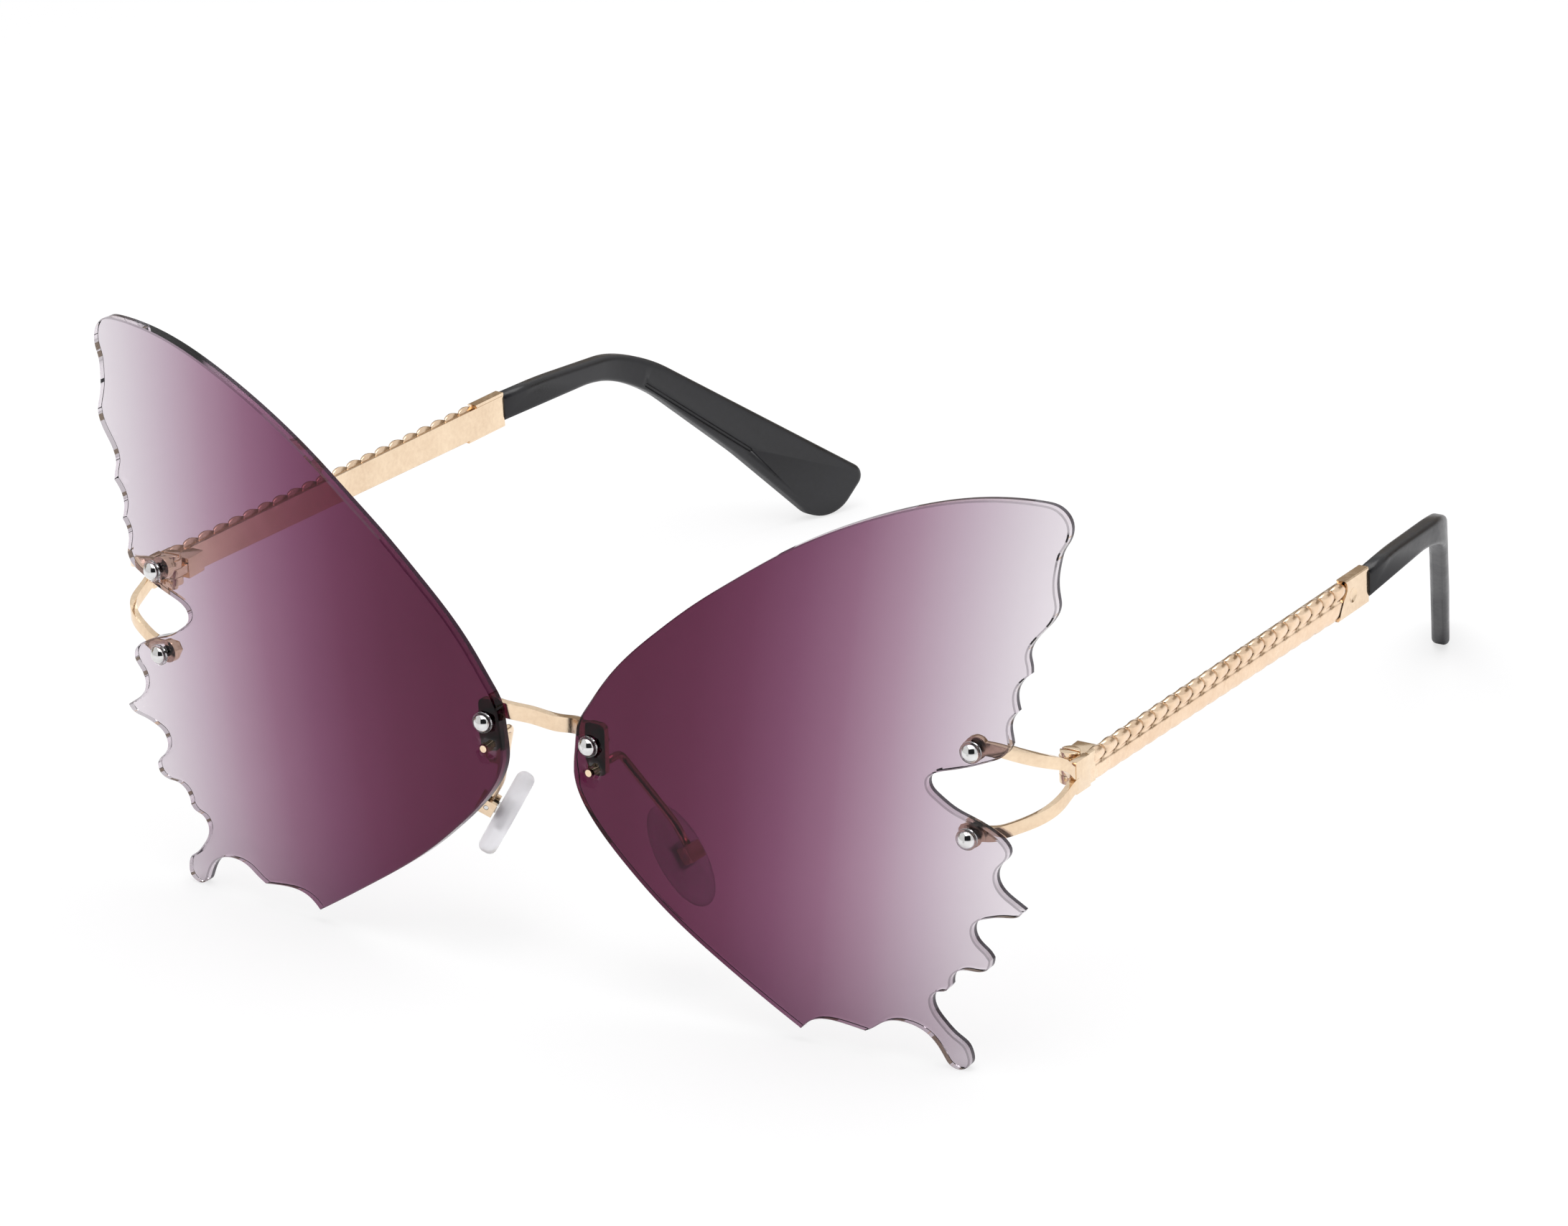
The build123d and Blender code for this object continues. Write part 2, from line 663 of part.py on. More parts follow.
with BuildPart() as temple:
    start_middle, start_half = bar_height(start_y)
    flat_middle, flat_half = bar_height(flat_start_y)
    end_middle, end_half = bar_height(end_y)
    with BuildSketch(bar_plane):
        with BuildLine():
            Polyline(
                (flat_start_y, flat_middle - flat_half),
                (end_y, end_middle - end_half),
                (end_y, end_middle + end_half),
                (flat_start_y, flat_middle + flat_half),
                close=True,
            )
        make_face()
    extrude(amount=bar_thickness)
    # The seat of the hinge leaf, open at the front.
    seat_length = 2 * (leaf_end_y + leaf_seat_clearance - flat_start_y)
    with BuildSketch(bar_plane):
        with Locations((flat_start_y, leaf_low_z + temple_leaf_height / 2)):
            Rectangle(seat_length, temple_leaf_height + 2 * leaf_seat_clearance)
    extrude(amount=leaf_seat_depth, mode=Mode.SUBTRACT)
    # The rope: lobes along both edges, then bowed grooves between the strands.
    with BuildSketch(bar_plane.offset(bar_thickness)):
        with BuildLine():
            rope_ys = [start_y + rope_start + rope_pitch * turn for turn in range(rope_count + 1)]
            for edge, lobe, lean in ((-1, rope_lower_lobe, rope_groove_lean), (1, rope_lobe, 0)):
                notches = []
                for y in rope_ys:
                    middle, half = bar_height(y - lean)
                    notches.append((y - lean, middle + edge * (half - lobe / 2)))
                for near, far in zip(notches[:-1], notches[1:]):
                    crown_y = (near[0] + far[0]) / 2
                    crown_z = (near[1] + far[1]) / 2 + edge * lobe
                    ThreePointArc(near, (crown_y, crown_z), far)
                Polyline((start_y, start_middle + edge * start_half), notches[0])
                Polyline(notches[-1], (end_y, end_middle + edge * end_half))
            for y, middle, half in ((start_y, start_middle, start_half), (end_y, end_middle, end_half)):
                Line((y, middle - half), (y, middle + half))
        make_face()
    extrude(amount=rope_thickness)
    with BuildSketch(Plane.YZ.offset(outer_x)):
        for y in rope_ys:
            middle, half = bar_height(y)
            side = rope_groove_width / 2
            for end_y_place, end_z in (
                (y, middle + half + rope_lobe),
                (y - rope_groove_lean, middle - half - rope_lobe),
            ):
                with BuildLine():
                    Polyline(
                        (y + rope_groove_bow - side, middle),
                        (y + rope_groove_bow + side, middle),
                        (end_y_place + side, end_z),
                        (end_y_place - side, end_z),
                        close=True,
                    )
                make_face()
    extrude(amount=-rope_groove_depth, mode=Mode.SUBTRACT)
    dimple_y = rope_ys[-1] + (end_y - rope_ys[-1]) * dimple_share
    with BuildSketch(Plane.YZ.offset(outer_x)):
        with Locations((dimple_y, bar_height(dimple_y)[0])):
            Circle(dimple_radius)
    extrude(amount=-dimple_depth, mode=Mode.SUBTRACT)
    # Room for the knuckles and the head of the hinge screw.
    with BuildSketch(Plane.XY):
        with Locations((hinge_x, hinge_y)):
            Circle(knuckle_radius + swing_clearance)
    extrude(amount=temple_start_z + temple_start_height, mode=Mode.SUBTRACT)
    with BuildSketch(tang_plane.offset(-tang_root)):
        Rectangle(tang_thickness, tang_height)
    extrude(amount=tang_root + tang_length)
save_temple_pair(temple, "temple")

# Temple tip: its side view cut through a band that bends inwards, with rounded edges.
blade_inward = radians(tip_blade_inward_angle)
front_heading = Vector(-sin(front_inward), cos(front_inward), 0)
blade_heading = Vector(-sin(blade_inward), cos(blade_inward), 0)
bend_point = tang_start + front_heading * tip_front_run
blade_end = bend_point + blade_heading * (tip_run - tip_front_run + tip_thickness)
tip_half = tip_thickness / 2
blade_half = tip_blade_thickness / 2
miter = blade_half / cos((blade_inward - front_inward) / 2)


def tip_place(share):
    """A point of the tip's side view, as (y, z)."""
    run = tip_run * share[0]
    y = end_y + cos(front_inward) * min(run, tip_front_run) + cos(blade_inward) * max(run - tip_front_run, 0)
    return (y, tip_top_z * share[1])


corners = [tip_place(share) for share in tip_shares]
corner_radii = [tip_run * share[2] for share in tip_shares[1:-1]]
with BuildPart() as temple_tip:
    with BuildSketch(Plane.YZ):
        with BuildLine():
            FilletPolyline(*corners, radius=corner_radii)
            Line(corners[-1], corners[0])
        make_face()
    extrude(amount=2 * hinge_x)
    with BuildSketch(Plane.XY):
        with BuildLine():
            ends = []
            for side in (-1, 1):
                before = Vector(front_heading.Y, -front_heading.X, 0) * side
                after = Vector(blade_heading.Y, -blade_heading.X, 0) * side
                rail = [
                    tang_start - front_heading * tip_thickness + before * tip_half,
                    bend_point + (before + after).normalized() * miter,
                    blade_end + after * blade_half,
                ]
                rail = [(point.X, point.Y) for point in rail]
                FilletPolyline(*rail, radius=tip_bend_radius + side * blade_half)
                ends.append((rail[0], rail[-1]))
            for near, far in zip(*ends):
                Line(near, far)
        make_face()
    extrude(amount=2 * tip_top_z, both=True, mode=Mode.INTERSECT)
    rims = temple_tip.edges().filter_by(lambda edge: edge.center().Y > end_y + tip_half)
    fillet(rims.filter_by(Axis.Z, reverse=True), radius=tip_edge_round)
    # The groove along the blade's inner face.
    inward = Vector(blade_heading.Y, -blade_heading.X, 0) * -1
    groove_plane = Plane(origin=bend_point + inward * blade_half, x_dir=blade_heading, z_dir=inward)
    groove_ends = []
    for run_share, height_share in tip_groove_shares:
        groove_ends.append(Vector(tip_run * run_share - tip_front_run, tip_middle_z - tip_top_z * height_share))
    with BuildSketch(groove_plane):
        SlotCenterPoint((groove_ends[0] + groove_ends[1]) / 2, groove_ends[1], tip_groove_width)
    extrude(amount=-tip_groove_depth, mode=Mode.SUBTRACT)
    # The bore for the tang.
    with BuildSketch(tang_plane.offset(-tang_root)):
        Rectangle(tang_thickness + 2 * tang_clearance, tang_height + 2 * tang_clearance)
    extrude(amount=tang_root + tang_length + tang_clearance, mode=Mode.SUBTRACT)
save_temple_pair(temple_tip, "temple_tip")

turn = (hook_point - root_point).get_angle(knee_point - hook_point)
print("hinge", round(hinge_x, 3), round(hinge_y, 3), "bar from", round(start_y, 3), "to", round(end_y, 3))
print("pad arm turn at the hook", round(turn, 1), "degrees")
print("lens width overall", round(2 * lens.part.bounding_box().max.X, 2))
print("depth", round(lens.part.bounding_box().min.Y, 2), round(temple_tip.part.bounding_box().max.Y, 2))
print("lowest", round(lens.part.bounding_box().min.Z, 3), round(temple_tip.part.bounding_box().min.Z, 3))
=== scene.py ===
import math

import bmesh
import bpy
import numpy as np
from mathutils import Matrix, Vector
from mathutils.geometry import delaunay_2d_cdt


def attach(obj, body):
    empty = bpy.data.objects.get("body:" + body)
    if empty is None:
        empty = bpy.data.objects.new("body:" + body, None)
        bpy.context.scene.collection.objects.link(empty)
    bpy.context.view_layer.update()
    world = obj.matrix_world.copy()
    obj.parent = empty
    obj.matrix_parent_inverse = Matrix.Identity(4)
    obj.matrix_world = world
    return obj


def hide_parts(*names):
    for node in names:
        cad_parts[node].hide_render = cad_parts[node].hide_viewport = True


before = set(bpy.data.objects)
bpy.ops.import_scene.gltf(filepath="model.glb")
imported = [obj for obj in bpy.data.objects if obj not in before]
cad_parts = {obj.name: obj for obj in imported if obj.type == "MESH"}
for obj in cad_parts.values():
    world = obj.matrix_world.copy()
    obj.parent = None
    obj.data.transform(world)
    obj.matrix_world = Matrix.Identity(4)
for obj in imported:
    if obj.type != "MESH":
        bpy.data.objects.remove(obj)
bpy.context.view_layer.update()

# Butterfly sunglasses. The lenses and the temples' bars and ropes are modelled here. The other pieces
# are the CAD nodes' own surfaces with rounded edges. Lengths are in millimetres until a mesh is made.

MM = 0.001
SIDES = {"left": 1, "right": -1}

# Lenses: curved sheets on a sphere, wrapped to the sides and leaning back, each with four holes.
TAIL_Y = -75.0
LENS_WIDTH, LENS_HEIGHT, LENS_THICKNESS, LENS_RADIUS = 72.0, 80.0, 1.9, 290.0
LENS_MIDDLE = (39.8, TAIL_Y - 3.4, 40.51)
LENS_MIDDLE_SHARE = (0.4806, 0.5025)
WRAP, LEAN = math.radians(4.1), math.radians(3.0)
SCREW_SHARES = [(0.046, 0.4615), (0.834, 0.578), (0.825, 0.427)]
SCREW_HOLE, PEG_HOLE, PEG_DROP = 0.65, 0.55, 3.8
LENS_EDGE, HOLE_EDGE = 0.2, 0.1

# The lens mesh: the step along the outline, the spacing of the points inside it, their distance from
# the outline and from a hole, and the short step that tells which side of the outline is inside.
OUTLINE_STEP = 0.45
GRID_ACROSS, GRID_UP = 1.8, 1.56
GRID_OFF_EDGE, GRID_OFF_HOLE = 0.9, 0.7
CIRCLE_STEPS = 32
PROBE = 0.05

# Marks for the lens rings from the front face to the rear one: 1 for the front chamfer, 0.5 for the
# rear half of the edge and the rear chamfer. The lens material paints shade on both.
RIM_SHADE_MARKS = [1.0, 0.0, 0.5, 0.5]

# The outline, in shares of the lens width from the nose and of the lens height from the tail.
WING_SHARES = [
    # The tip below the nose, the inner edge, the nose, the brow, the wing corner and its waves.
    [
        (0.468, 0.022), (0.42, 0.050), (0.34, 0.098), (0.26, 0.1475), (0.18, 0.203),
        (0.12, 0.2525), (0.07, 0.299), (0.035, 0.339), (0.015, 0.372), (0.0065, 0.405),
        (0.0085, 0.435), (0.0125, 0.465), (0.019, 0.495), (0.040, 0.528), (0.08, 0.580),
        (0.12, 0.623), (0.20, 0.691), (0.28, 0.751), (0.36, 0.803), (0.44, 0.852),
        (0.52, 0.894), (0.60, 0.929), (0.68, 0.958), (0.76, 0.981), (0.84, 0.996),
        (0.90, 1.001), (0.95, 1.001), (0.98, 0.996), (0.995, 0.986), (1.003, 0.975),
        (1.006, 0.960), (1.000, 0.940), (0.992, 0.927), (0.986, 0.905), (0.983, 0.878),
        (0.986, 0.853), (0.989, 0.836), (0.984, 0.819), (0.970, 0.800), (0.950, 0.779),
        (0.939, 0.762), (0.9365, 0.747), (0.940, 0.733), (0.941, 0.719),
    ],
    # Two soft teeth down to the corner of the forewing.
    [(0.941, 0.719), (0.926, 0.706), (0.916, 0.690), (0.9145, 0.673), (0.919, 0.654)],
    [(0.919, 0.654), (0.906, 0.638), (0.903, 0.622), (0.906, 0.605), (0.9075, 0.596)],
    # The notch between the wings, the corner of the hindwing and the first bay.
    [
        (0.9075, 0.596), (0.900, 0.582), (0.870, 0.565), (0.83, 0.551), (0.79, 0.540),
        (0.762, 0.531), (0.749, 0.520), (0.749, 0.504), (0.765, 0.4885), (0.795, 0.470),
        (0.83, 0.457), (0.87, 0.440), (0.893, 0.424), (0.901, 0.409), (0.896, 0.396),
        (0.882, 0.382), (0.875, 0.361), (0.884, 0.340), (0.907, 0.322), (0.9275, 0.309),
    ],
    # Bays between the pointed teeth of the hindwing.
    [
        (0.9275, 0.309), (0.921, 0.301), (0.89, 0.294), (0.855, 0.287), (0.833, 0.276),
        (0.827, 0.257), (0.837, 0.237), (0.855, 0.221), (0.861, 0.212),
    ],
    [
        (0.861, 0.212), (0.856, 0.196), (0.84, 0.1885), (0.808, 0.1875), (0.789, 0.179),
        (0.780, 0.163), (0.7795, 0.154),
    ],
    # The tail and the arch beside it.
    [
        (0.7795, 0.154), (0.770, 0.1435), (0.750, 0.138), (0.739, 0.125), (0.741, 0.104),
        (0.76, 0.078), (0.78, 0.059), (0.80, 0.044), (0.807, 0.027), (0.806, 0.010),
        (0.79, -0.001), (0.768, 0.004), (0.758, 0.018), (0.744, 0.041), (0.726, 0.058),
        (0.70, 0.069), (0.67, 0.072), (0.64, 0.064), (0.62, 0.051), (0.602, 0.0415),
    ],
    [(0.602, 0.0415), (0.56, 0.0475), (0.52, 0.0490), (0.49, 0.0405), (0.468, 0.022)],
]

# Temples, drawn straight back from the hinge at (x, y) and then turned in.
HINGE = (71.974, -62.705)
TOE_IN = math.radians(1.2)
START_Y, END_Y = HINGE[1] + 0.7, HINGE[1] + 79.7
START_Z, END_Z, START_HEIGHT, END_HEIGHT = 40.25, 35.2, 4.5, 5.3
BAR_X, BAR_THICKNESS, OUTER_X = 72.874, 0.7, 74.574
KNUCKLE_ROOM = 1.6
BAR_OVERLAP, BAR_SHRINK, BAR_TOP_DROP = 0.1, 0.12, 0.5
FRONT_BLOCK_LAP, FRONT_BLOCK_INSET = 1.0, 0.25
PLATE_BEVEL = 0.16
END_PLATE_X, END_PLATE_LAP, END_PLATE_ROOT = OUTER_X - 0.12, 0.1, 0.05
DIMPLE_Y, DIMPLE_RADIUS, DIMPLE_DEPTH = 12.235, 1.1, 0.3

# The rope on the outer side of a temple.
ROPE_START, ROPE_PITCH, ROPE_COUNT = 0.8, 3.4, 21
ROPE_FRONT_GAP, ROPE_WELD = 0.05, 0.03
TWIST_ROWS, TWIST_STEPS, GROOVE_STEPS = 37, 21, 15

# How far back a groove lies at each height: shares of the half height and of the pitch.
GROOVE = [
    (-1.0, -0.62), (-0.45, -0.40), (0.0, -0.16), (0.22, 0.03),
    (0.42, 0.13), (0.65, 0.15), (0.85, 0.08), (1.0, 0.0),
]

# Two strands side by side. Middle and half width are shares of the half height, base and swell are
# millimetres outwards. The upper strand is rounder, and the groove between two twists cuts it deeper.
STRAND_SPLIT, STRAND_SLOPE = 0.08, 0.10
UPPER_MIDDLE, UPPER_HALF, UPPER_BASE, UPPER_SWELL = 0.52, 0.50, 0.30, 0.72
LOWER_MIDDLE, LOWER_HALF, LOWER_BASE, LOWER_SWELL = -0.42, 0.62, 0.22, 0.56
GROOVE_DEPTH, UPPER_GROOVE_DEPTH = 0.03, 0.50

# The edges of the rope, scalloped by each twist, in shares of the half height.
TOP_EDGE, TOP_SCALLOP, BOTTOM_EDGE, BOTTOM_SCALLOP = 0.84, 0.17, 0.93, 0.05

# Painted shade in the pits between the twists: how it fades as a twist swells, and the middle, width and
# weight of the two heights where it is darkest.
PIT_SHADE_START, PIT_SHADE_FADE = 1.15, 1.4
SPLIT_PIT_SHADE, UPPER_PIT_SHADE = (0.16, 0.20, 1.0), (0.58, 0.30, 0.55)


def curve_through(points, step):
    """Points at an even step along a smooth curve through the given points, the last one left out."""
    points = np.array(points, float)
    t = np.concatenate([[0], np.cumsum(np.linalg.norm(np.diff(points, axis=0), axis=1))])
    n, h = len(points), np.diff(t)
    system, right = np.eye(n), np.zeros((n, 2))
    for k in range(1, n - 1):
        system[k, k - 1 : k + 2] = h[k - 1], 2 * (h[k - 1] + h[k]), h[k]
        right[k] = 6 * ((points[k + 1] - points[k]) / h[k] - (points[k] - points[k - 1]) / h[k - 1])
    bend = np.linalg.solve(system, right)
    out = []
    for s in np.linspace(0, t[-1], max(3, round(t[-1] / step)) + 1)[:-1]:
        k = min(np.searchsorted(t, s, side="right") - 1, n - 2)
        a, b = (t[k + 1] - s) / h[k], (s - t[k]) / h[k]
        bow = ((a**3 - a) * bend[k] + (b**3 - b) * bend[k + 1]) * h[k] ** 2 / 6
        out.append(a * points[k] + b * points[k + 1] + bow)
    return out


def circle(centre, radius):
    """Points of a circle in a plane, as pairs."""
    turns = np.linspace(0, 2 * math.pi, CIRCLE_STEPS + 1)[:-1]
    return np.array(centre) + np.stack([np.cos(turns), np.sin(turns)], axis=1) * radius


def inside(points, loop):
    """Which of the points lie inside the closed loop."""
    x, y = points[:, 0], points[:, 1]
    hit = np.zeros(len(points), bool)
    for (x0, y0), (x1, y1) in zip(loop, np.roll(loop, -1, axis=0)):
        crosses = (y0 > y) != (y1 > y)
        hit ^= crosses & (x < (x1 - x0) * (y - y0) / (y1 - y0 + 1e-12) + x0)
    return hit


def loop_edges(first, count):
    """The edges of a closed loop of points."""
    return [(first + k, first + (k + 1) % count) for k in range(count)]


def between(first, second):
    """The faces between two closed rings of vertex numbers."""
    return [list(face) for face in zip(first, first[1:] + first[:1], second[1:] + second[:1], second)]


def add_tube(vertices, faces, rings, first_cap=False):
    """Adds closed rings of points, the faces between them and a cap over the last ring."""
    numbers = []
    for ring in rings:
        numbers.append(list(range(len(vertices), len(vertices) + len(ring))))
        vertices += ring
    for first, second in zip(numbers, numbers[1:]):
        faces += between(first, second)
    if first_cap:
        faces.append(numbers[0][::-1])
    faces.append(numbers[-1])


def linked(name, mesh):
    """A new object of the mesh in the scene, at the origin."""
    obj = bpy.data.objects.new(name, mesh)
    bpy.context.scene.collection.objects.link(obj)
    return obj


def new_object(name, vertices, faces, side=1):
    """A mesh object from millimetre points, mirrored for the right side, with its normals outwards."""
    mesh = bpy.data.meshes.new(name)
    mesh.from_pydata([(v[0] * side * MM, v[1] * MM, v[2] * MM) for v in vertices], [], faces)
    shape = bmesh.new()
    shape.from_mesh(mesh)
    bmesh.ops.recalc_face_normals(shape, faces=shape.faces)
    shape.to_mesh(mesh)
    shape.free()
    return linked(name, mesh)


def smooth(obj, angle):
    obj.data.shade_smooth()
    obj.data.set_sharp_from_angle(angle=math.radians(angle))


def put(obj, body, material, node):
    """The piece's material, the body it moves with and the CAD node it stands for."""
    obj.data.materials.clear()
    obj.data.materials.append(material)
    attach(obj, body)
    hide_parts(node)


def refined(node, bevel):
    """A welded copy of a CAD node's mesh. With a bevel, flat faces are joined and sharp edges rounded."""
    name = node + "_finished"
    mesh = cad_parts[node].data.copy()
    shape = bmesh.new()
    shape.from_mesh(mesh)
    bmesh.ops.remove_doubles(shape, verts=shape.verts, dist=0.002 * MM)
    if bevel:
        bmesh.ops.dissolve_limit(shape, angle_limit=math.radians(0.5), verts=shape.verts, edges=shape.edges)
        sharp = [e for e in shape.edges if len(e.link_faces) == 2 and e.calc_face_angle() > math.radians(30)]
        bmesh.ops.bevel(
            shape, geom=sharp, offset=bevel * MM, offset_type="OFFSET", segments=3, profile=0.5,
            affect="EDGES", clamp_overlap=True,
        )
    bmesh.ops.recalc_face_normals(shape, faces=shape.faces)
    clean = bpy.data.meshes.new(name)
    shape.to_mesh(clean)
    shape.free()
    bpy.data.meshes.remove(mesh)
    obj = linked(name, clean)
    smooth(obj, 38.0)
    return obj


# The lens plane touches the middle of the lens.
LENS_FORWARD = np.array([math.sin(WRAP) * math.cos(LEAN), -math.cos(WRAP) * math.cos(LEAN), math.sin(LEAN)])
LENS_ACROSS = np.array([math.cos(WRAP), math.sin(WRAP), 0.0])
LENS_UP = np.cross(LENS_FORWARD, LENS_ACROSS)
LENS_CENTRE = np.array(LENS_MIDDLE) - LENS_FORWARD * LENS_RADIUS


def lens_point(place, radius):
    """The point of a sphere about the lens's centre that lies over a place in the lens plane."""
    depth = math.sqrt(radius**2 - place[0] ** 2 - place[1] ** 2)
    return LENS_CENTRE + LENS_ACROSS * place[0] + LENS_UP * place[1] + LENS_FORWARD * depth


def in_lens_plane(share):
    across = (share[0] - LENS_MIDDLE_SHARE[0]) * LENS_WIDTH
    up = (share[1] - LENS_MIDDLE_SHARE[1]) * LENS_HEIGHT
    return np.array([across, up])


def lens_holes():
    """Centre and radius of the three screw holes and the peg hole."""
    holes = [(in_lens_plane(share), SCREW_HOLE) for share in SCREW_SHARES]
    holes.append((holes[0][0] - np.array([0, PEG_DROP]), PEG_HOLE))
    return holes


def lens_loops(holes):
    """The outline and the hole edges, each with its copy inset by the chamfer."""
    runs = [[in_lens_plane(share) for share in run] for run in WING_SHARES]
    outline = np.array([p for run in runs for p in curve_through(run, OUTLINE_STEP)])
    tangent = np.roll(outline, -1, axis=0) - np.roll(outline, 1, axis=0)
    inward = np.stack([-tangent[:, 1], tangent[:, 0]], axis=1)
    inward /= np.linalg.norm(inward, axis=1)[:, None]
    if inside(outline + inward * PROBE, outline).mean() < 0.5:
        inward = -inward
    loops = [(outline, outline + inward * LENS_EDGE)]
    loops += [(circle(centre, radius), circle(centre, radius + HOLE_EDGE)) for centre, radius in holes]
    return loops


def lens_grid(outline, holes):
    """Staggered points inside the outline, clear of the edge and the holes."""
    across = np.arange(-LENS_WIDTH * 0.6, LENS_WIDTH * 0.6, GRID_ACROSS)
    rows = np.arange(-LENS_HEIGHT * 0.55, LENS_HEIGHT * 0.55, GRID_UP)
    grid = np.array([(x + GRID_ACROSS / 2 * (row % 2), y) for row, y in enumerate(rows) for x in across])
    grid = grid[inside(grid, outline)]
    clear = np.array([np.linalg.norm(outline - p, axis=1).min() for p in grid]) > GRID_OFF_EDGE
    for centre, radius in holes:
        clear &= np.linalg.norm(grid - centre, axis=1) > radius + GRID_OFF_HOLE
    return grid[clear]


def lens_face(loops, holes):
    """The flat face: its points, its triangles, and each loop's inset ring as vertex numbers."""
    flat, edges, rings = [], [], []
    for _, inset in loops:
        rings.append(range(len(flat), len(flat) + len(inset)))
        edges += loop_edges(len(flat), len(inset))
        flat += [Vector(p) for p in inset]
    flat += [Vector(p) for p in lens_grid(loops[0][1], holes)]
    places, _, faces, origin, _, _ = delaunay_2d_cdt(flat, edges, [], 1, 1e-6)
    places = np.array([tuple(p) for p in places])
    place_of = {source: index for index, sources in enumerate(origin) for source in sources}
    kept = []
    for face in faces:
        middle = places[list(face)].mean(axis=0)
        if all(np.linalg.norm(middle - centre) > radius for centre, radius in holes):
            kept.append(list(face))
    return places, kept, [[place_of[k] for k in ring] for ring in rings]


def lens(side_name):
    """A lens as one closed mesh: two spherical faces, a chamfered rim and four chamfered holes."""
    holes = lens_holes()
    loops = lens_loops(holes)
    places, kept, inset_rings = lens_face(loops, holes)
    half = LENS_THICKNESS / 2
    count = len(places)
    points = [lens_point(p, radius) for radius in (LENS_RADIUS + half, LENS_RADIUS - half) for p in places]
    flat = list(places) * 2
    solid = kept + [[i + count for i in reversed(face)] for face in kept]
    marks = [0.0] * len(solid)
    for (edge, _), inset in zip(loops, inset_rings):
        rings = [inset]
        for depth in (half - LENS_EDGE, 0.0, LENS_EDGE - half):
            rings.append(list(range(len(points), len(points) + len(edge))))
            points += [lens_point(p, LENS_RADIUS + depth) for p in edge]
            flat += list(edge)
        rings.append([i + count for i in inset])
        for first, second, mark in zip(rings, rings[1:], RIM_SHADE_MARKS):
            solid += between(first, second)
            marks += [mark] * len(edge)
    obj = new_object(side_name + "_tinted_lens", points, solid, SIDES[side_name])
    # The rim marks tell the lens material where to paint shade on the edge.
    obj.data.attributes.new("rim", "FLOAT", "FACE").data.foreach_set("value", np.array(marks, np.float32))
    shares = np.array(flat) / (LENS_WIDTH, LENS_HEIGHT) + LENS_MIDDLE_SHARE
    uv = obj.data.uv_layers.new(name="lens_shares")
    for loop in obj.data.loops:
        uv.data[loop.index].uv = shares[loop.vertex_index]
    smooth(obj, 20.0)
    return obj


def feed(tree, socket, value):
    """Links a socket to the given one, or sets it to the given value."""
    if isinstance(value, bpy.types.NodeSocket):
        tree.links.new(value, socket)
    else:
        socket.default_value = value


def add(tree, kind, settings=(), **inputs):
    """A node with its attributes set and its named inputs fed."""
    node = tree.nodes.new(kind)
    for key, value in dict(settings).items():
        setattr(node, key, value)
    for key, value in inputs.items():
        feed(tree, node.inputs[key.replace("_", " ")], value)
    return node


def math_node(tree, operation, *values):
    node = add(tree, "ShaderNodeMath", {"operation": operation})
    for socket, value in zip(node.inputs, values):
        feed(tree, socket, value)
    return node.outputs[0]


def mix_colours(tree, factor, first, second):
    """From the first colour at a factor of 0 to the second at 1."""
    node = add(tree, "ShaderNodeMix", {"data_type": "RGBA"}, Factor=factor)
    feed(tree, node.inputs[6], first)
    feed(tree, node.inputs[7], second)
    return node.outputs[2]


def srgb(*channels):
    """A screen colour of 0 to 255 as a linear one."""
    linear = [c / 255 / 12.92 if c <= 10 else ((c / 255 + 0.055) / 1.055) ** 2.4 for c in channels]
    return (*linear, 1.0)


def wear_group():
    """Fine unevenness on an object's own coordinates: a mask of 0 to 1, a roughness and a normal."""
    tree = bpy.data.node_groups.new("fine_wear", "ShaderNodeTree")
    for name in ("Grain scale", "Least roughness", "Most roughness", "Bump"):
        tree.interface.new_socket(name, in_out="INPUT", socket_type="NodeSocketFloat")
    for name, kind in (("Mask", "Float"), ("Roughness", "Float"), ("Normal", "Vector")):
        tree.interface.new_socket(name, in_out="OUTPUT", socket_type="NodeSocket" + kind)
    given = tree.nodes.new("NodeGroupInput").outputs
    result = tree.nodes.new("NodeGroupOutput").inputs
    place = tree.nodes.new("ShaderNodeTexCoord").outputs["Object"]
    clouds = add(tree, "ShaderNodeTexNoise", Vector=place, Scale=140.0, Detail=3.0)
    grain = add(
        tree, "ShaderNodeTexNoise", Vector=place, Scale=given["Grain scale"], Detail=4.0, Roughness=0.6,
    )
    broad = math_node(tree, "MULTIPLY", clouds.outputs[0], 0.55)
    both = math_node(tree, "MULTIPLY_ADD", grain.outputs[0], 0.45, broad)
    mask = add(tree, "ShaderNodeMapRange", Value=both, From_Min=0.35, From_Max=0.65).outputs[0]
    rough = add(
        tree, "ShaderNodeMapRange", Value=mask, To_Min=given["Least roughness"],
        To_Max=given["Most roughness"],
    )
    bump = add(tree, "ShaderNodeBump", Height=grain.outputs[0], Strength=given["Bump"], Distance=0.00005)
    tree.links.new(mask, result["Mask"])
    tree.links.new(rough.outputs[0], result["Roughness"])
    tree.links.new(bump.outputs[0], result["Normal"])
    return tree


WEAR = wear_group()


def worn(tree, shader, scale, least, most, bump=None):
    """Gives a shader the group's roughness and, with a bump, its normal. Returns the mask."""
    node = add(tree, "ShaderNodeGroup", {"node_tree": WEAR})
    for name, value in (("Grain scale", scale), ("Least roughness", least), ("Most roughness", most)):
        node.inputs[name].default_value = value
    tree.links.new(node.outputs["Roughness"], shader.inputs["Roughness"])
    if bump is not None:
        node.inputs["Bump"].default_value = bump
        tree.links.new(node.outputs["Normal"], shader.inputs["Normal"])
    return node.outputs["Mask"]


def principled(name, **settings):
    mat = bpy.data.materials.new(name)
    mat.use_nodes = True
    shader = mat.node_tree.nodes["Principled BSDF"]
    for key, value in settings.items():
        shader.inputs[key.replace("_", " ")].default_value = value
    return mat, mat.node_tree, shader


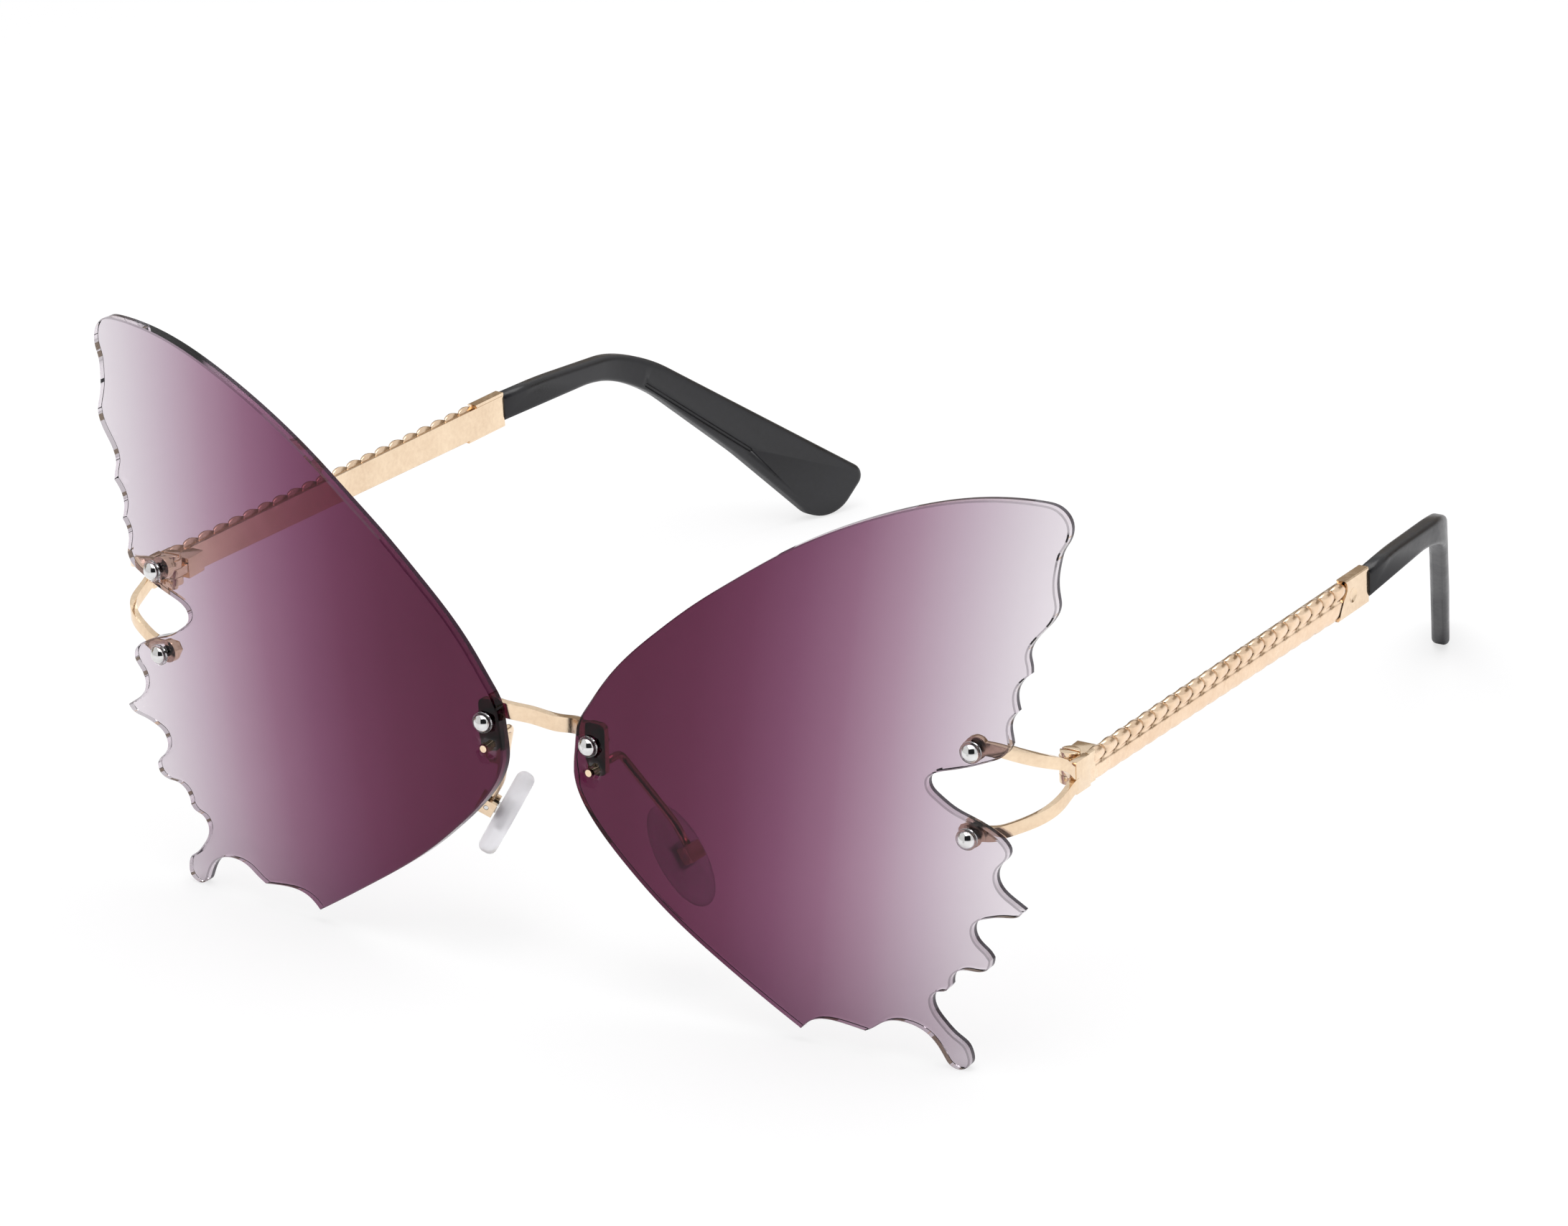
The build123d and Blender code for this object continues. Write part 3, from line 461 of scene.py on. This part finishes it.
def metal(name, dark, light, least, most, bump=0.15, pit_shade_colour=None):
    """Polished metal of two close tones. With a pit shade colour, painted shade darkens a mesh's own pits to
    it.
    """
    mat, tree, shader = principled(name, Metallic=1.0)
    mask = worn(tree, shader, 1500.0, least, most, bump)
    colour = mix_colours(tree, mask, dark, light)
    # Painted shade: the mesh's pit mask mixes the colour towards the shade colour in its pits.
    if pit_shade_colour:
        depth = add(tree, "ShaderNodeAttribute", {"attribute_name": "pit"})
        colour = mix_colours(tree, depth.outputs["Fac"], colour, pit_shade_colour)
    tree.links.new(colour, shader.inputs["Base Color"])
    return mat


# The lens's tint from the nose outwards: share of the width and screen colour.
TINT_STOPS = [
    (0.13, (83, 32, 57)), (0.25, (90, 39, 65)), (0.35, (101, 51, 78)),
    (0.45, (117, 71, 98)), (0.55, (136, 96, 120)), (0.65, (160, 130, 149)),
    (0.75, (183, 165, 178)), (0.85, (204, 194, 202)), (1.0, (232, 228, 231)),
]


def tint(tree):
    """The tint over the lens, leaning a little with the height."""
    shares = add(tree, "ShaderNodeUVMap", {"uv_map": "lens_shares"})
    parts = add(tree, "ShaderNodeSeparateXYZ", Vector=shares.outputs[0])
    lean = math_node(tree, "MULTIPLY_ADD", parts.outputs[1], -0.14, 0.063)
    ramp = add(tree, "ShaderNodeValToRGB", Fac=math_node(tree, "ADD", parts.outputs[0], lean))
    elements = ramp.color_ramp.elements
    while len(elements) < len(TINT_STOPS):
        elements.new(0.5)
    for element, (place, colour) in zip(elements, TINT_STOPS):
        element.position = place
        element.color = srgb(*colour)
    return ramp.outputs[0]


def rim_darkness(tree):
    """Painted shade on the rim: the front chamfer, and the rear half of the edge where it faces the eye."""
    mark = add(tree, "ShaderNodeAttribute", {"attribute_name": "rim"}).outputs["Fac"]
    chamfer = add(tree, "ShaderNodeMapRange", Value=mark, From_Min=0.5, From_Max=1.0)
    off_band = math_node(tree, "ABSOLUTE", math_node(tree, "SUBTRACT", mark, 0.5))
    band = add(tree, "ShaderNodeMapRange", Value=off_band, From_Min=0.5, From_Max=0.0)
    geometry = tree.nodes.new("ShaderNodeNewGeometry")
    outside = math_node(tree, "SUBTRACT", 1.0, geometry.outputs["Backfacing"])
    seen = math_node(tree, "MULTIPLY", band.outputs[0], outside)
    return math_node(tree, "MULTIPLY_ADD", chamfer.outputs[0], 0.6, seen)


def lens_material():
    """Clear sheet, tinted plum at the nose and fading outwards, with faint smudges and painted shade on the
    rim.
    """
    mat, tree, shader = principled("lens_gradient_tint", Transmission_Weight=1.0, IOR=1.25)
    # Painted shade: a near-black line on the front chamfer and on the edge's rear half where it faces the
    # eye.
    colour = mix_colours(tree, rim_darkness(tree), tint(tree), (0.014, 0.012, 0.015, 1))
    tree.links.new(colour, shader.inputs["Base Color"])
    worn(tree, shader, 260.0, 0.0, 0.03)
    return mat


def clear_material(name, colour, ior, clear, least, most, bump):
    mat, tree, shader = principled(name, Transmission_Weight=clear, IOR=ior, Base_Color=colour)
    worn(tree, shader, 700.0, least, most, bump)
    return mat


def tip_material():
    """Black acetate with a soft shine and very fine scuffs."""
    mat, tree, shader = principled("black_tip_plastic", IOR=1.5)
    mask = worn(tree, shader, 1200.0, 0.26, 0.42, 0.12)
    colour = mix_colours(tree, mask, (0.004, 0.004, 0.005, 1), (0.010, 0.010, 0.013, 1))
    tree.links.new(colour, shader.inputs["Base Color"])
    return mat


GOLD = metal("pale_gold", (0.74, 0.56, 0.39, 1), (0.90, 0.72, 0.52, 1), 0.10, 0.22)
# The rope's gold, with painted shade of a darker brown in its pits.
RELIEF = metal(
    "pale_gold_relief", (0.78, 0.56, 0.38, 1), (0.95, 0.74, 0.54, 1), 0.16, 0.30,
    pit_shade_colour=srgb(128, 94, 56),
)
CHROME = metal("polished_chrome", (0.62, 0.61, 0.60, 1), (0.80, 0.80, 0.80, 1), 0.03, 0.08, 0.03)
LENS = lens_material()
PLASTIC = clear_material("clear_washer_plastic", (0.94, 0.94, 0.95, 1), 1.46, 1.0, 0.02, 0.10, 0.05)
SILICONE = clear_material("clear_silicone", (0.98, 0.975, 1.0, 1), 1.25, 0.66, 0.30, 0.45, 0.04)
TIP = tip_material()


def bar_height(y):
    """The middle and the half height of a temple at a distance along it."""
    share = (y - START_Y) / (END_Y - START_Y)
    middle = START_Z + (END_Z - START_Z) * share
    return middle, (START_HEIGHT + (END_HEIGHT - START_HEIGHT) * share) / 2


def groove_setback(v):
    """How far back a groove lies at a share of the half height."""
    return ROPE_PITCH * np.interp(v, *zip(*GROOVE))


def strands(v):
    """How far out the strands stand at a share of the half height, and how deep the grooves cut there."""
    upper = 0.5 + 0.5 * math.tanh((v - STRAND_SPLIT) / STRAND_SLOPE)
    round_upper = max(0.0, 1 - ((v - UPPER_MIDDLE) / UPPER_HALF) ** 2) ** 0.5
    round_lower = max(0.0, 1 - ((v - LOWER_MIDDLE) / LOWER_HALF) ** 4) ** 0.5
    crown = upper * (UPPER_BASE + UPPER_SWELL * round_upper)
    crown += (1 - upper) * (LOWER_BASE + LOWER_SWELL * round_lower)
    return crown, GROOVE_DEPTH + UPPER_GROOVE_DEPTH * upper


def bell(v, middle, width, weight):
    return weight * math.exp(-(((v - middle) / width) ** 2))


def twist_mesh():
    """One twist of the rope from groove to groove: Y along the temple, Z from -1 to 1, X outwards."""
    heights = np.concatenate([[-1.0], np.linspace(-1, 1, TWIST_ROWS), [1.0]])
    along = (1 - np.cos(np.linspace(0, math.pi, TWIST_STEPS))) / 2
    vertices, pit_shades = [], []
    for row, v in enumerate(heights):
        skirt = row in (0, len(heights) - 1)
        crown, depth = strands(v)
        # Painted shade for the pits between twists: strongest in two bands, fading where the twist swells.
        pit_shade_band = bell(v, *SPLIT_PIT_SHADE) + bell(v, *UPPER_PIT_SHADE)
        for s in along:
            swell = math.sin(math.pi * s**0.8) ** 0.55 if 0 < s < 1 else 0.0
            hook = math.sin(math.pi * s) ** 0.8 if 0 < s < 1 else 0.0
            x = 0.0 if skirt else max(0.0, crown - depth * (1 - swell))
            rise = TOP_EDGE + TOP_SCALLOP * hook if v > 0 else BOTTOM_EDGE + BOTTOM_SCALLOP * hook
            vertices.append((x, ROPE_PITCH * s + groove_setback(v), v * rise))
            pit_shades.append(min(1.0, max(0.0, PIT_SHADE_START - PIT_SHADE_FADE * swell) * pit_shade_band))
    rows = [range(r * len(along), (r + 1) * len(along)) for r in range(len(heights))]
    faces = []
    for lower, upper in zip(rows, rows[1:] + rows[:1]):
        faces += [(lower[k], lower[k + 1], upper[k + 1], upper[k]) for k in range(len(along) - 1)]
    mesh = bpy.data.meshes.new("rope_twist")
    mesh.from_pydata([(x * MM, y * MM, z * MM) for x, y, z in vertices], [], faces)
    # The painted pit shade is stored on the mesh for the relief's material.
    mesh.attributes.new("pit", "FLOAT", "POINT").data.foreach_set("value", np.array(pit_shades, np.float32))
    mesh.shade_smooth()
    return linked("rope_twist", mesh)


def rope_tree():
    """Sets the twist object on every point, stretched by the point's own half height."""
    tree = bpy.data.node_groups.new("rope_along_temple", "GeometryNodeTree")
    tree.interface.new_socket("Geometry", in_out="INPUT", socket_type="NodeSocketGeometry")
    twist = tree.interface.new_socket("Twist", in_out="INPUT", socket_type="NodeSocketObject")
    finish = tree.interface.new_socket("Finish", in_out="INPUT", socket_type="NodeSocketMaterial")
    tree.interface.new_socket("Geometry", in_out="OUTPUT", socket_type="NodeSocketGeometry")
    given = tree.nodes.new("NodeGroupInput").outputs
    result = tree.nodes.new("NodeGroupOutput").inputs
    shape = add(tree, "GeometryNodeObjectInfo", Object=given["Twist"])
    half = add(tree, "GeometryNodeInputNamedAttribute", {"data_type": "FLOAT"}, Name="half_height")
    scale = add(tree, "ShaderNodeCombineXYZ", X=1.0, Y=1.0, Z=half.outputs[0])
    placed = add(
        tree, "GeometryNodeInstanceOnPoints", Points=given["Geometry"], Instance=shape.outputs["Geometry"],
        Scale=scale.outputs[0],
    )
    real = add(tree, "GeometryNodeRealizeInstances", Geometry=placed.outputs[0])
    painted = add(tree, "GeometryNodeSetMaterial", Geometry=real.outputs[0], Material=given["Finish"])
    tree.links.new(painted.outputs[0], result[0])
    return tree, twist.identifier, finish.identifier


def bevelled(places, centre):
    """A side profile (y, z) drawn in by the plate's bevel towards its centre."""
    return [
        (y - math.copysign(PLATE_BEVEL, y - centre[0]), z - math.copysign(PLATE_BEVEL, z - centre[1]))
        for y, z in places
    ]


def prism(vertices, faces, inner, outer, profile):
    """Adds a bevelled plate: its side profile (y, z) between two x's."""
    shrunk = bevelled(profile, np.mean(profile, axis=0))
    levels = [
        (inner, shrunk), (inner + PLATE_BEVEL, profile), (outer - PLATE_BEVEL, profile), (outer, shrunk),
    ]
    add_tube(vertices, faces, [[(x, y, z) for y, z in places] for x, places in levels], first_cap=True)


def end_plate(vertices, faces, y0, y1):
    """The plate before the tip, cut along the last groove, with a round dimple in its outer face."""
    (m0, h0), (m1, h1) = bar_height(y0), bar_height(y1)
    shares = np.linspace(1, -1, GROOVE_STEPS)
    groove = [(y0 + groove_setback(v) - END_PLATE_LAP, m0 + h0 * v) for v in shares]
    outer = [(y1, m1 - h1), (y1, m1 + h1)] + groove
    face = bevelled(outer[:2], (y0, m1)) + groove
    for k in (2, len(face) - 1):
        y, z = face[k]
        face[k] = (y, z - math.copysign(PLATE_BEVEL, z - m0))
    middle = (DIMPLE_Y, bar_height(DIMPLE_Y)[0])
    rim = circle(middle, DIMPLE_RADIUS)
    edges = loop_edges(0, len(face)) + loop_edges(len(face), CIRCLE_STEPS)
    flat = [Vector(p) for p in face] + [Vector(p) for p in rim]
    places, _, made, _, _, _ = delaunay_2d_cdt(flat, edges, [], 1, 1e-6)
    base = len(vertices)
    vertices += [(END_PLATE_X, p[0], p[1]) for p in places]
    for triangle in made:
        centre = sum((places[k] for k in triangle), Vector((0, 0))) / len(triangle)
        if (centre - Vector(middle)).length > DIMPLE_RADIUS * 0.99:
            faces.append([base + k for k in triangle])
    bowl = []
    for share in (1.0, 0.8, 0.55, 0.3):
        floor_x = END_PLATE_X - DIMPLE_DEPTH * (1 - share**2) ** 0.6
        bowl.append([(floor_x, y, z) for y, z in circle(middle, DIMPLE_RADIUS * share)])
    add_tube(vertices, faces, bowl)
    levels = ((END_PLATE_X, face), (END_PLATE_X - PLATE_BEVEL, outer), (BAR_X + END_PLATE_ROOT, outer))
    add_tube(vertices, faces, [[(x, y, z) for y, z in places] for x, places in levels])


def toed_in(side):
    """The turn about the hinge that points the open temples in a little."""
    pivot = Vector((side * HINGE[0] * MM, HINGE[1] * MM, 0))
    return Matrix.Translation(pivot) @ Matrix.Rotation(side * TOE_IN, 4, "Z") @ Matrix.Translation(-pivot)


def bar_outline(y0, y1, shrink=0.0, lower=0.0):
    """The bar's side profile, drawn in by a shrink and with its top lowered."""
    (m0, h0), (m1, h1) = bar_height(y0), bar_height(y1)
    h0, h1 = h0 - shrink, h1 - shrink
    return [(y0, m0 - h0), (y1, m1 - h1), (y1, m1 + h1 - lower), (y0, m0 + h0 - lower)]


ROPE_FROM = START_Y + ROPE_START
ROPE_TO = ROPE_FROM + ROPE_PITCH * ROPE_COUNT


def temple_bar(side_name):
    """The flat bar behind the rope, the block before it and the plate after it."""
    side = SIDES[side_name]
    vertices, faces = [], []
    bar_face = BAR_X + BAR_THICKNESS + BAR_OVERLAP
    behind_rope = bar_outline(HINGE[1] + KNUCKLE_ROOM, END_Y, BAR_SHRINK, BAR_TOP_DROP)
    prism(vertices, faces, BAR_X, bar_face, behind_rope)
    before_rope = bar_outline(START_Y, ROPE_FROM + FRONT_BLOCK_LAP)
    prism(vertices, faces, bar_face, OUTER_X - FRONT_BLOCK_INSET, before_rope)
    end_plate(vertices, faces, ROPE_TO, END_Y)
    bar = new_object(side_name + "_temple_bar", vertices, faces, side)
    bar.data.transform(toed_in(side))
    smooth(bar, 35.0)
    return bar


def temple_rope(side_name, twist, tree, sockets):
    """The rope relief over the bar's outer face, a twist for each point, following the bar's slope."""
    side = SIDES[side_name]
    starts = [ROPE_FROM + ROPE_PITCH * turn for turn in range(ROPE_COUNT)]
    halves = [bar_height(y + ROPE_PITCH / 2)[1] for y in starts]
    mesh = bpy.data.meshes.new(side_name + "_rope")
    mesh.from_pydata([((BAR_X + BAR_THICKNESS) * MM, y * MM, 0.0) for y in starts], [], [])
    half_height = mesh.attributes.new("half_height", "FLOAT", "POINT")
    half_height.data.foreach_set("value", np.array(halves, np.float32))
    rope = linked(side_name + "_rope_relief", mesh)
    modifier = rope.modifiers.new("rope", "NODES")
    modifier.node_group = tree
    for socket, value in zip(sockets, (twist, RELIEF)):
        modifier[socket] = value
    bpy.context.view_layer.update()
    made = bpy.data.meshes.new_from_object(rope.evaluated_get(bpy.context.evaluated_depsgraph_get()))
    rope.modifiers.clear()
    for vertex in made.vertices:
        vertex.co.y = max(vertex.co.y, (START_Y + ROPE_FRONT_GAP) * MM)
        vertex.co.z += bar_height(vertex.co.y / MM)[0] * MM
    made.transform(toed_in(side) @ Matrix.Diagonal((side, 1, 1, 1)))
    shape = bmesh.new()
    shape.from_mesh(made)
    bmesh.ops.remove_doubles(shape, verts=shape.verts, dist=ROPE_WELD * MM)
    bmesh.ops.recalc_face_normals(shape, faces=shape.faces)
    if sum(f.normal.x * f.calc_area() for f in shape.faces) * side < 0:
        bmesh.ops.reverse_faces(shape, faces=shape.faces)
    shape.to_mesh(made)
    shape.free()
    rope.data = made
    rope.data.shade_smooth()
    return rope


twist = twist_mesh()
tree, *sockets = rope_tree()
for side_name in SIDES:
    temple = side_name + "_temple"
    put(temple_bar(side_name), temple, GOLD, temple)
    put(temple_rope(side_name, twist, tree, sockets), temple, RELIEF, temple)
bpy.data.objects.remove(twist)

for side_name in SIDES:
    put(lens(side_name), "front", LENS, side_name + "_lens")

# The pieces on each side that keep the solid's surface: name, body, bevel, slot and material.
FASTENERS = [
    ("screw", "front", 0.0, "chrome", CHROME), ("washer", "front", 0.07, "clear_plastic", PLASTIC),
    ("nut", "front", 0.08, "gold", GOLD),
]
PIECES = [(place + "_" + kind, *rest) for kind, *rest in FASTENERS for place in ("bridge", "upper", "lower")]
PIECES += [
    ("pad_arm", "front", 0.0, "gold", GOLD), ("pad_box", "front", 0.1, "gold", GOLD),
    ("pad_screw", "front", 0.08, "chrome", CHROME), ("endpiece", "front", 0.28, "gold", GOLD),
    ("front_hinge_leaf", "front", 0.05, "gold", GOLD), ("hinge_screw", "front", 0.08, "gold", GOLD),
    ("temple_hinge_leaf", "temple", 0.05, "gold", GOLD), ("temple_tip", "temple", 0.0, "black_tip", TIP),
    ("pad_tongue", "nose_pad", 0.05, "chrome", CHROME),
    ("nose_pad", "nose_pad", 0.0, "clear_silicone", SILICONE),
]
for side_name in SIDES:
    for kind, carrier, bevel, slot, material in PIECES:
        node = side_name + "_" + kind
        body = carrier if carrier == "front" else side_name + "_" + carrier
        put(refined(node, bevel), body, material, node)
put(refined("bridge", 0.28), "front", GOLD, "bridge")


def plate(name, centre, size, facing, material):
    """A flat rectangle of the studio, in metres."""
    mesh = bpy.data.meshes.new(name)
    w, h = size[0] / 2, size[1] / 2
    mesh.from_pydata([(-w, -h, 0), (w, -h, 0), (w, h, 0), (-w, h, 0)], [], [(0, 1, 2, 3)])
    mesh.materials.append(material)
    obj = linked(name, mesh)
    obj.location = centre
    obj.rotation_euler = Vector(facing).to_track_quat("Z", "Y").to_euler()
    return obj


def card_material(name, colour):
    return principled(name, Base_Color=colour, Roughness=0.9, Specular_IOR_Level=0.2)[0]


def floor_material():
    """White ground that keeps the shadows, seen a little lighter by the camera."""
    mat, tree, shader = principled(
        "white_floor", Base_Color=(0.86, 0.86, 0.87, 1), Roughness=0.9, Specular_IOR_Level=0.2,
    )
    path = tree.nodes.new("ShaderNodeLightPath")
    glow = add(tree, "ShaderNodeEmission", Color=(1, 1, 1, 1), Strength=1.0)
    share = math_node(tree, "MULTIPLY", path.outputs["Is Camera Ray"], 0.72)
    mix = tree.nodes.new("ShaderNodeMixShader")
    for socket, source in zip(mix.inputs, (share, shader.outputs[0], glow.outputs[0])):
        tree.links.new(source, socket)
    tree.links.new(mix.outputs[0], tree.nodes["Material Output"].inputs["Surface"])
    return mat


# Cards that only reflections show: a ring of brown ones round the far side, and a dark one by the camera.
RING_STEPS, RING_RADIUS, RING_HEIGHT, RING_CARD = 12, 1.6, 0.34, (0.86, 0.6)
FAR_SIDE, LEAST_FAR = Vector((-0.55, 0.83, 0.0)), 0.3
BROWN = card_material("brown_card", (0.40, 0.33, 0.25, 1))
DARK = card_material("dark_card", (0.02, 0.02, 0.022, 1))

plate("floor", (0, 0, 0), (8.0, 8.0), (0, 0, 1), floor_material())
cards = [plate("dark_card_by_camera", (0.64, -0.99, 0.66), (1.6, 1.3), (-0.504, 0.765, -0.401), DARK)]
for step in range(RING_STEPS):
    heading = 2 * math.pi * step / RING_STEPS
    outwards = Vector((math.cos(heading), math.sin(heading), 0.0))
    place = outwards * RING_RADIUS
    if place.dot(FAR_SIDE) >= LEAST_FAR:
        place.z = RING_HEIGHT
        cards.append(plate("brown_card_" + str(step), place, RING_CARD, -outwards, BROWN))
for card in cards:
    card.visible_camera = False

softbox = bpy.data.lights.new("top_softbox", "AREA")
softbox.size = 0.9
softbox.energy = 7.0
SOFTBOX_PLACE = Vector((0.1, -0.1, 0.9))
lamp = linked("top_softbox", softbox)
lamp.location = SOFTBOX_PLACE
lamp.rotation_euler = (-SOFTBOX_PLACE).to_track_quat("-Z", "Y").to_euler()

world = bpy.data.worlds.new("studio")
bpy.context.scene.world = world
world.use_nodes = True
sky = world.node_tree.nodes["Background"].inputs
sky["Color"].default_value = (1, 1, 1, 1)
sky["Strength"].default_value = 0.82

# The photograph's view, worked out from the picture: the camera's place in metres, its lens in
# millimetres, and the directions of its picture.
CAMERA_PLACE, CAMERA_LENS, SENSOR_WIDTH = (0.52798, -0.82067, 0.45070), 173.08, 36.0
PICTURE_RIGHT = Vector((0.8446, 0.53367, -0.04305))
PICTURE_DOWN = Vector((0.181, -0.36027, -0.91512))
PICTURE_IN = Vector((-0.50388, 0.76512, -0.40087))

camera = linked("camera", bpy.data.cameras.new("camera"))
camera.data.sensor_width = SENSOR_WIDTH
camera.data.lens = CAMERA_LENS
camera.data.clip_start, camera.data.clip_end = 0.05, 20.0
axes = Matrix((PICTURE_RIGHT, -PICTURE_DOWN, -PICTURE_IN)).transposed().to_4x4()
camera.matrix_world = Matrix.Translation(CAMERA_PLACE) @ axes
bpy.context.scene.camera = camera
bpy.context.scene.view_settings.view_transform = "Standard"
